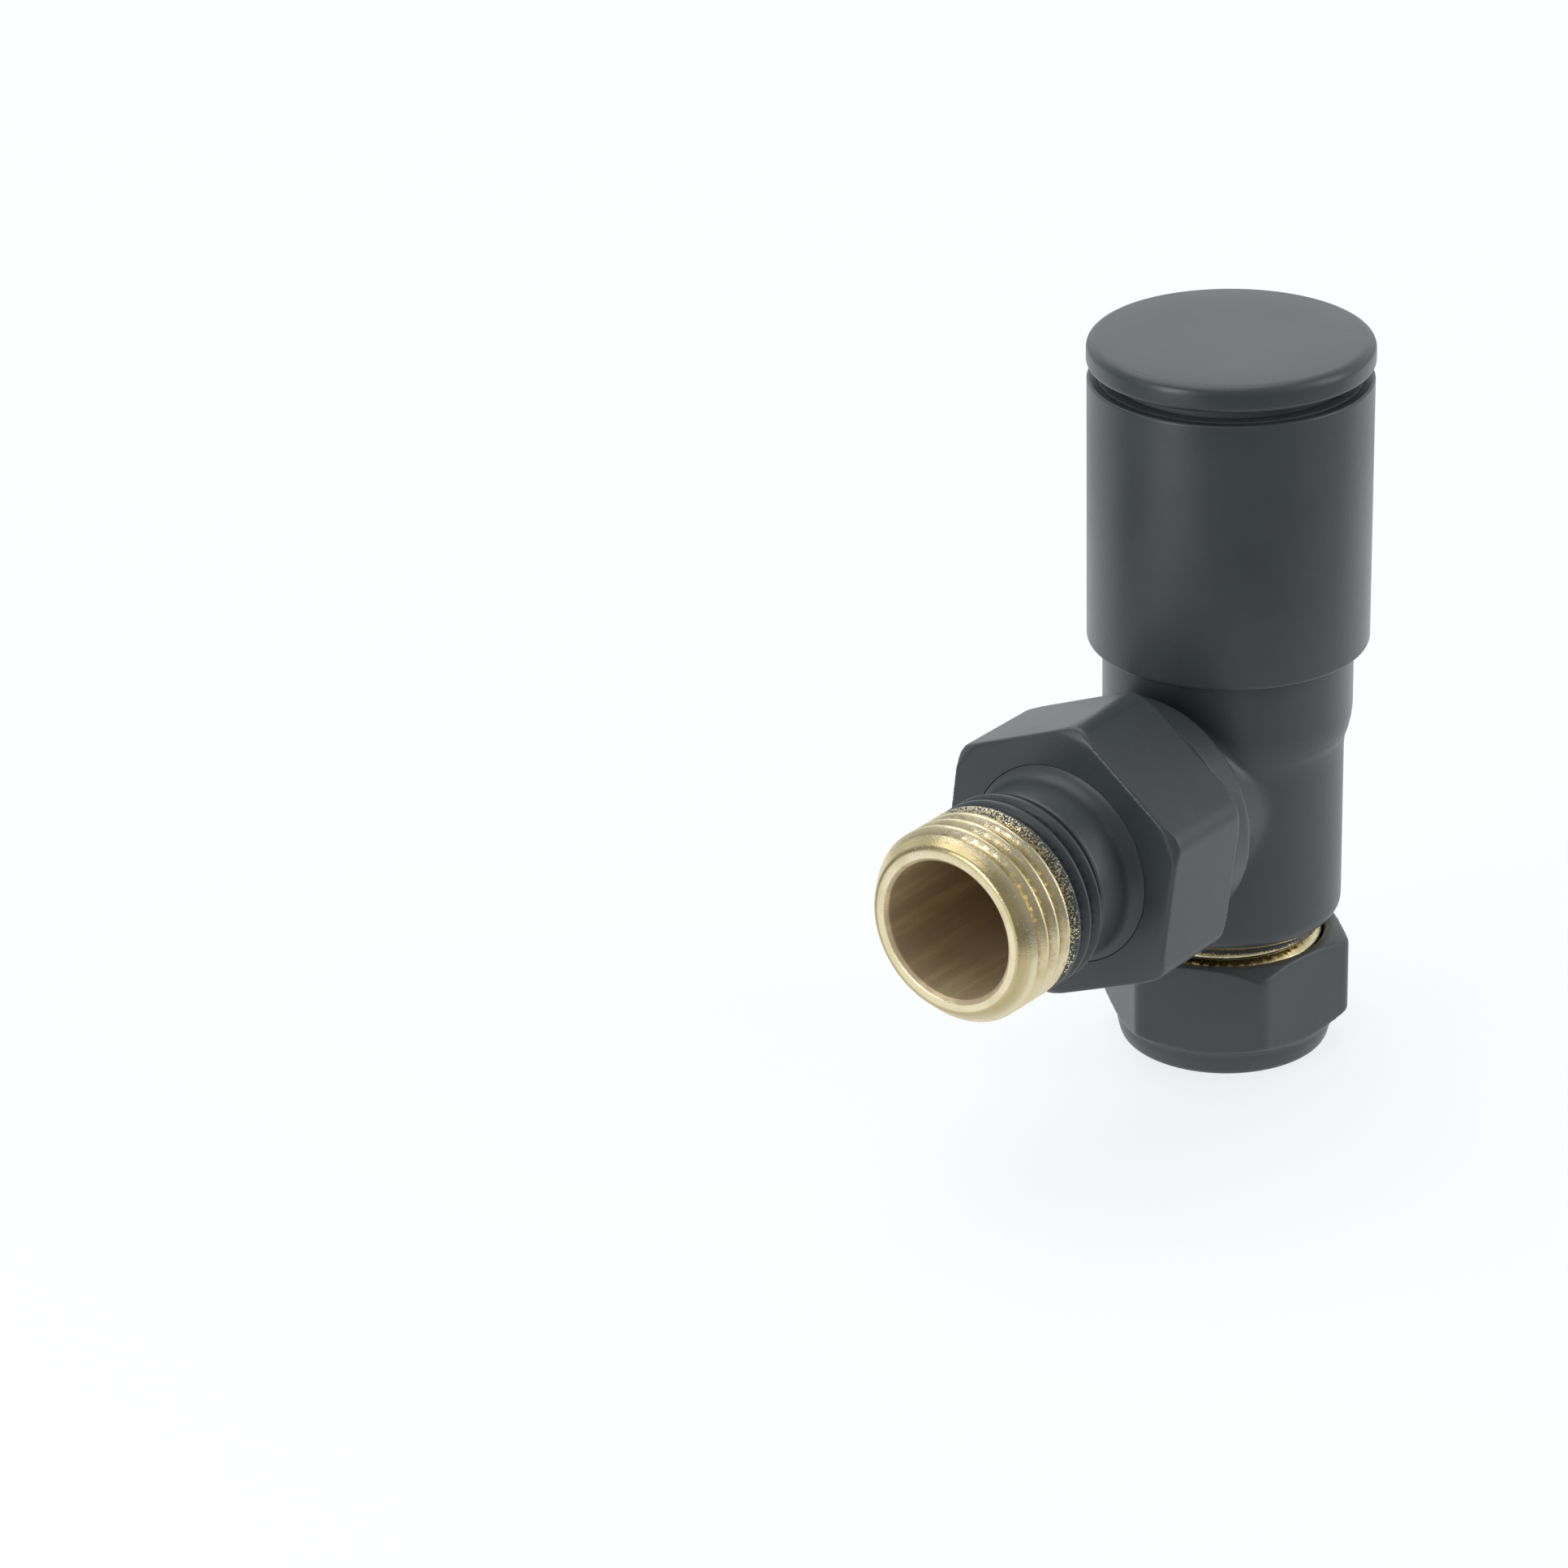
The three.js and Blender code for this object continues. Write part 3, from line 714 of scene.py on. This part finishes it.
upright_waterway = turned([(0, 5.2), (PIPE_ROOT - 0.6, 5.2), (PIPE_ROOT - 0.6, 10.2), (7.6, 10.2),
                           (7.6, 20.5), (5.5, 20.5), (5.5, 23.5), (7, 23.5), (7.3, 22.2), (9.6, 22.2),
                           (9.6, 41.5), (10.5, 42.4), (10.5, 48.3), (11.9, 48.3), (11.9, 51), (0, 51)])
combine(body, upright_waterway)
combine(body, along_tail(turned([(0, 0), (7.5, 0), (7.5, 26), (0, 26)])))
finished(smooth(body, 40), "body_casting", "valve", BODY_FINISH, ["valve_body"])


def threaded(core, envelope, root, crest, low, turns):
    """A core with a wound ridge on it, which is cut to the envelope's shape first."""
    wound = combine(ridge(root, crest, low, turns), turned(envelope), "INTERSECT")
    return combine(turned(core), wound, "UNION")


pipe_thread = threaded(
    [(7.62, 10.2), (9.2, 6.2), (PIPE_ROOT, 6.2), (PIPE_ROOT, 15.4), (7.62, 15.4)],
    [(0, 6.3), (PIPE_ROOT, 6.3), (10.6, 7.5), (10.6, 15.0), (0, 15.0)],
    PIPE_ROOT, 10.42, 5.0, 6)
finished(smooth(pipe_thread), "pipe_end_thread", "valve", PIPE_THREAD_FINISH, ["valve_body"])

outlet_thread = along_tail(threaded(
    [(7.52, 16.5), (OUTLET_ROOT, 16.5), (OUTLET_ROOT, 24.2), (11.2, 24.6), (7.52, 24.6)],
    [(0, 18.0), (OUTLET_CREST + ENVELOPE_SPARE, 18.0), (OUTLET_CREST + ENVELOPE_SPARE, 23.6),
     (OUTLET_ROOT, 24.5), (0, 24.5)],
    OUTLET_ROOT, OUTLET_CREST - 0.04, 15.6, 6))
finished(smooth(outlet_thread), "outlet_thread", "valve", OUTLET_BRASS, ["valve_body"])

# ---- Compression nut and olive ----
pipe_nut = combine(hexagon(24, 3, 13.2, ridge=0.87),
                   turned([(0, 0), (11.1, 0, 0.6), (11.7, 1.7, 1.2), (11.7, 4), (0, 4)]), "UNION")
combine(pipe_nut, turned([(0, -1), (7.7, -1), (7.7, 2.6), (9.4, 4.4), (10.62, 4.4), (10.62, 12.5),
                          (11.25, 13.3), (0, 13.3)]))
cast_skin(pipe_nut, 21.6, 0.24, 6)
finished(smooth(pipe_nut, 60), "pipe_nut", "compression_nut", PAINTED, ["compression_nut"])

simple([(7.65, 3.2), (7.85, 3.2), (8.9, 4.5, 0.2), (8.9, 6.4, 0.2), (7.9, 8.9), (7.65, 8.9)],
       "olive_turned", "pipe_end", TURNED_BRASS, "olive")

# ---- Union nut, fibre seal and threaded tail ----
outlet_nut = combine(hexagon(28, 19, 30.7, ridge=1.3, chamfer=14.9),
                     turned([(0, 18), (14.2, 18), (12.9, 19.9), (12.9, 28.6), (10.0, 28.6), (10.0, 31),
                             (0, 31)]))
cast_skin(outlet_nut, 22.4, 0.23, 3)
combine(outlet_nut, turned([(0, 28), (10.9, 28), (10.9, 31), (0, 31)]))
finished(smooth(along_tail(outlet_nut), 60), "outlet_nut", "union_nut", PAINTED, ["union_nut"])

seal = along_tail(turned([(8.2, 24.9, 0.1), (11.4, 24.9, 0.1), (11.4, 26.1, 0.1), (8.2, 26.1, 0.1)], PLAIN))
finished(smooth(seal), "fibre_washer", "tail", RED_FIBRE, ["union_seal"])

tail = along_tail(threaded(
    [(7.5, 26.4, 0.2), (11.6, 26.4, 0.2), (11.6, 28.3, 0.3), (10.84, 28.3), (10.84, 30.7, 0.1),
     (9.6, 31.4, 1.2), (9.6, 36.2, 0.3), (PIPE_ROOT, 36.6), (PIPE_ROOT, 48.4), (9.8, 48.85, 0.15),
     (9.1, 50, 0.35), (7.9, 50, 0.15), (7.5, 49.6, 0.15)],
    [(0, 36.4), (PIPE_ROOT, 36.4), (PIPE_CREST + ENVELOPE_SPARE, 37.5), (PIPE_CREST + ENVELOPE_SPARE, 48.1),
     (9.7, 49.0), (0, 49.0)],
    PIPE_ROOT, PIPE_CREST, 34.2, 9))
finished(smooth(tail), "threaded_tail", "tail", TAIL_FINISH, ["union_tail"])

# ---- Floor, light and camera ----
CAMERA_PLACE = Vector((0.31136, -0.46108, 0.28979))
CAMERA_RIGHT = Vector((0.784639, 0.619537, -0.022868))
CAMERA_UP = Vector((-0.246218, 0.345262, 0.905633))
CAMERA_BACK = Vector((0.568970, -0.704963, 0.423446))
FRONT = Vector((CAMERA_BACK.x, CAMERA_BACK.y, 0)).normalized()
RIGHT = Vector((-FRONT.y, FRONT.x, 0))
TARGET = Vector((0, 0, 0.045))
LENS, SENSOR = 131.51, 36
BLACK = (0, 0, 0, 1)
FLOOR_DARK, FLOOR_LIGHT = (0.20, 0.205, 0.205, 1), (0.22, 0.225, 0.225, 1)
FLOOR_PALE, FLOOR_LIT, FLOOR_GLOW = (0.93, 0.96, 0.96, 1), (0.98, 1, 1, 1), (0.975, 1.0, 1.0, 1)
STREAK_HEADING = FRONT * 0.64 - RIGHT * 0.77
GLOW_SHARE = 0.8


def floor_light(tree, place):
    """Brightness that reflections find on the floor: a pool round the valve, and wedges further out."""
    from_valve = vector_node(tree, "LENGTH", place, output="Value")
    away = vector_node(tree, "NORMALIZE", place)

    def wedge(heading, *bounds):
        """Light along a heading from the valve. The bounds are cosines, then brightness at each."""
        return ranged(tree, vector_node(tree, "DOT_PRODUCT", away, heading, "Value"), *bounds)

    close_by = ranged(tree, from_valve, 0.07, 0.17, 0.70, 0.0)
    streak = wedge(STREAK_HEADING, 0.90, 0.985, 0.0, 0.6)
    behind = wedge(FRONT, -0.45, 0.0, 0.8, 0.0)
    beside = wedge(RIGHT, 0.55, 0.95, 0.0, 0.4)
    further = math_node(tree, "ADD", math_node(tree, "ADD", streak, behind), beside)
    further = product(tree, further, ranged(tree, from_valve, 0.07, 0.13))
    further = product(tree, further, ranged(tree, from_valve, 0.5, 0.9, 1.0, 0.0))
    return math_node(tree, "ADD", close_by, further)


def floor_finish():
    """A plain pale floor to the camera. Reflections see it darker, with its own pattern of light."""
    material, tree, shader, place = new_material("pale_floor")
    tone = noise(tree, place, 3.0, 2.0)
    lit = floor_light(tree, place)
    for label, value in (("Base Color", mixed(tree, tone, FLOOR_DARK, FLOOR_LIGHT)), ("Roughness", 0.9),
                         ("Specular IOR Level", 0.1), ("Emission Strength", 1.0),
                         ("Emission Color", mixed(tree, lit, BLACK, FLOOR_LIT))):
        feed(tree, shader.inputs[label], value)
    pale = put(tree, "ShaderNodeBsdfDiffuse", {"Color": FLOOR_PALE}).outputs[0]
    glow = put(tree, "ShaderNodeEmission", {"Color": FLOOR_GLOW, "Strength": 1.0}).outputs[0]
    seen = put(tree, "ShaderNodeMixShader", {0: GLOW_SHARE, 1: pale, 2: glow}).outputs[0]
    direct = put(tree, "ShaderNodeLightPath").outputs["Is Camera Ray"]
    shown = put(tree, "ShaderNodeMixShader", {0: direct, 1: shader.outputs[0], 2: seen}).outputs[0]
    tree.links.new(shown, tree.nodes["Material Output"].inputs["Surface"])
    return material


def add_to_scene(name, data):
    """A camera or light with its data, linked into the scene."""
    obj = bpy.data.objects.new(name, data)
    bpy.context.scene.collection.objects.link(obj)
    return obj


def softbox(name, across, up, ahead, width, height, power):
    """An area light that faces the valve. Its place is to the right of, above and in front of the valve."""
    data = bpy.data.lights.new(name, "AREA")
    data.shape = "RECTANGLE"
    data.size, data.size_y = width, height
    data.energy = power
    light = add_to_scene(name, data)
    light.location = TARGET + RIGHT * across + FRONT * ahead + Vector((0, 0, up))
    light.rotation_euler = (light.location - TARGET).to_track_quat("Z", "Y").to_euler()


def studio_world():
    """A sky that is brighter behind and to the right of the valve, and plain to the camera."""
    world = bpy.data.worlds.new("studio")
    world.use_nodes = True
    sky = world.node_tree
    direction = put(sky, "ShaderNodeTexCoord").outputs["Generated"]
    facing = vector_node(sky, "DOT_PRODUCT", direction, FRONT, "Value")
    sideways = vector_node(sky, "DOT_PRODUCT", direction, RIGHT, "Value")
    around = math_node(sky, "ADD", ranged(sky, facing, -0.95, -0.1, 1.15, 0.36),
                       ranged(sky, sideways, 0.55, 0.95, 0.0, 0.3))
    background = sky.nodes["Background"]
    background.inputs["Color"].default_value = (0.97, 1.0, 1.0, 1)
    lit_for_camera = put(sky, "ShaderNodeLightPath").outputs["Is Camera Ray"]
    sky.links.new(mixed(sky, lit_for_camera, around, 1.0, "FLOAT"), background.inputs["Strength"])
    return world


bpy.ops.object.select_all(action="DESELECT")
bpy.ops.mesh.primitive_plane_add(size=12, location=(0, 0, 0))
floor = bpy.context.object
floor.name = "floor"
floor.data.materials.append(floor_finish())

camera_data = bpy.data.cameras.new("camera")
camera_data.lens = LENS
camera_data.sensor_width = SENSOR
camera = add_to_scene("camera", camera_data)
camera.rotation_euler = Matrix((CAMERA_RIGHT, CAMERA_UP, CAMERA_BACK)).transposed().to_euler()
camera.location = CAMERA_PLACE
bpy.context.scene.camera = camera

softbox("overhead", -0.4, 1.6, -0.3, 1.8, 1.8, 17)
softbox("left_front", -0.50, 0.16, 0.40, 0.16, 0.42, 1.6)
softbox("right_side", 1.2, 0.5, 0.2, 0.5, 1.1, 4.6)
bpy.context.scene.world = studio_world()
bpy.context.scene.view_settings.view_transform = "Standard"
